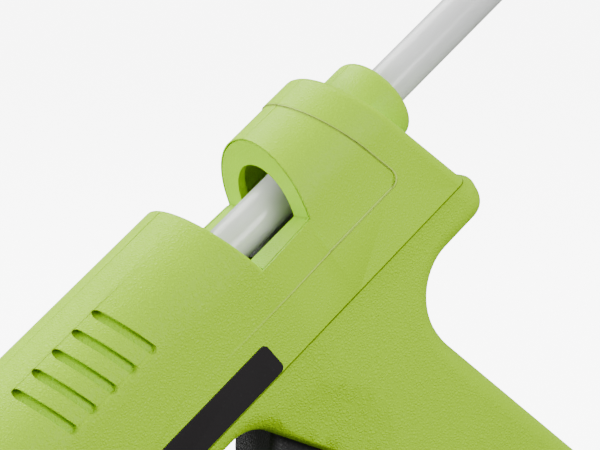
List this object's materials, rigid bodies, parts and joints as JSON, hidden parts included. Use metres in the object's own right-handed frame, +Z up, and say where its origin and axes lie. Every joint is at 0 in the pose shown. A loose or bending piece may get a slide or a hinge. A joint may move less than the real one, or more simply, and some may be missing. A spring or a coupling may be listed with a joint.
{
  "type": "hot glue gun",
  "caption": "Corded pistol-grip hot-melt glue gun with a stick window, rear stick inlet, squeeze trigger and fold-out wire stand, resting nose-down.",
  "frame": {"origin": "middle of the flat on the grip's toe, on the bench the gun rests on", "axes": "+Z up from the bench, nose toward -X, the gun's left side toward -Y"},
  "size_m": [0.2085, 0.0492, 0.1769],
  "materials": {
    "case": "moulded lime green, fine leather grain",
    "black_plastic": "heat-proof black moulding",
    "trigger_plastic": "black moulding, fine grain",
    "screw_steel": "zinc-plated, recessed heads",
    "brass": "turned, heat-tinted near the tip",
    "silicone": "matt black silicone boot",
    "chamber": "die cast, as cast",
    "film": "amber insulating film",
    "electrode": "rolled strip",
    "ceramic": "grey fired ceramic",
    "phenolic": "brown paper laminate",
    "clear_silicone": "translucent white silicone",
    "spring_steel": "bright drawn",
    "carriage_plastic": "glass-filled nylon",
    "glue": "cloudy translucent hot-melt glue",
    "label": "blank black plate",
    "stand_wire": "plated steel wire",
    "gland_rubber": "black rubber",
    "terminal": "white terminal block",
    "lead": "glass-sleeved lead"
  },
  "bodies": {
    "case": {"left_shell": "case", "right_shell": "case", "window_bezel": "case", "shell_screws": "screw_steel", "nose_ring": "black_plastic", "nozzle": "brass", "nozzle_sleeve": "silicone", "heating_chamber": "chamber", "heater_films": "film", "heater_electrodes": "electrode", "ptc_heater": "ceramic", "front_cradle": "phenolic", "rear_cradle": "phenolic", "inlet_sleeve": "clear_silicone", "sleeve_clip": "spring_steel", "stick_guide": "black_plastic", "trigger_pivot": "spring_steel", "trigger_spring": "spring_steel", "left_label": "label", "right_label": "label", "cord_gland": "gland_rubber", "terminal_block": "terminal", "heater_leads": "lead"},
    "trigger_lever": {"trigger": "trigger_plastic"},
    "feed_carriage": {"carriage": "carriage_plastic", "carriage_pin": "spring_steel", "jaw_pin": "spring_steel"},
    "jaw": {"clamp_jaw": "spring_steel"},
    "stick": {"glue_stick": "glue"},
    "stand": {"wire_stand": "stand_wire"}
  },
  "joints": [
    {"name": "trigger_pull", "type": "hinge", "parent": "case", "child": "trigger_lever", "pos_m": [-0.05931, 0, 0.06475], "axis": [0, -1, 0], "range_deg": [0, 19], "stiffness_Nm_per_rad": 0.08, "springref_deg": -17.19},
    {"name": "carriage_slide", "type": "slide", "parent": "case", "child": "feed_carriage", "axis": [-0.7934, 0, -0.6088], "range_m": [0, 0.00855]},
    {"name": "stick_feed", "type": "slide", "parent": "case", "child": "stick", "axis": [-0.7934, 0, -0.6088], "range_m": [0, 0.00855]},
    {"name": "jaw_bite", "type": "hinge", "parent": "feed_carriage", "child": "jaw", "pos_m": [-0.05009, 0, 0.10283], "axis": [0, 1, 0], "range_deg": [0, 3]},
    {"name": "stand_fold", "type": "hinge", "parent": "case", "child": "stand", "pos_m": [-0.1252, 0, 0.03562], "axis": [0, -1, 0], "range_deg": [0, 118.4]}
  ],
  "couplings": [
    {"joint": "carriage_slide", "follows": "trigger_pull", "m_per_rad": 0.025736},
    {"joint": "stick_feed", "follows": "trigger_pull", "m_per_rad": 0.025736},
    {"joint": "jaw_bite", "follows": "trigger_pull", "ratio": 0.15789}
  ]
}
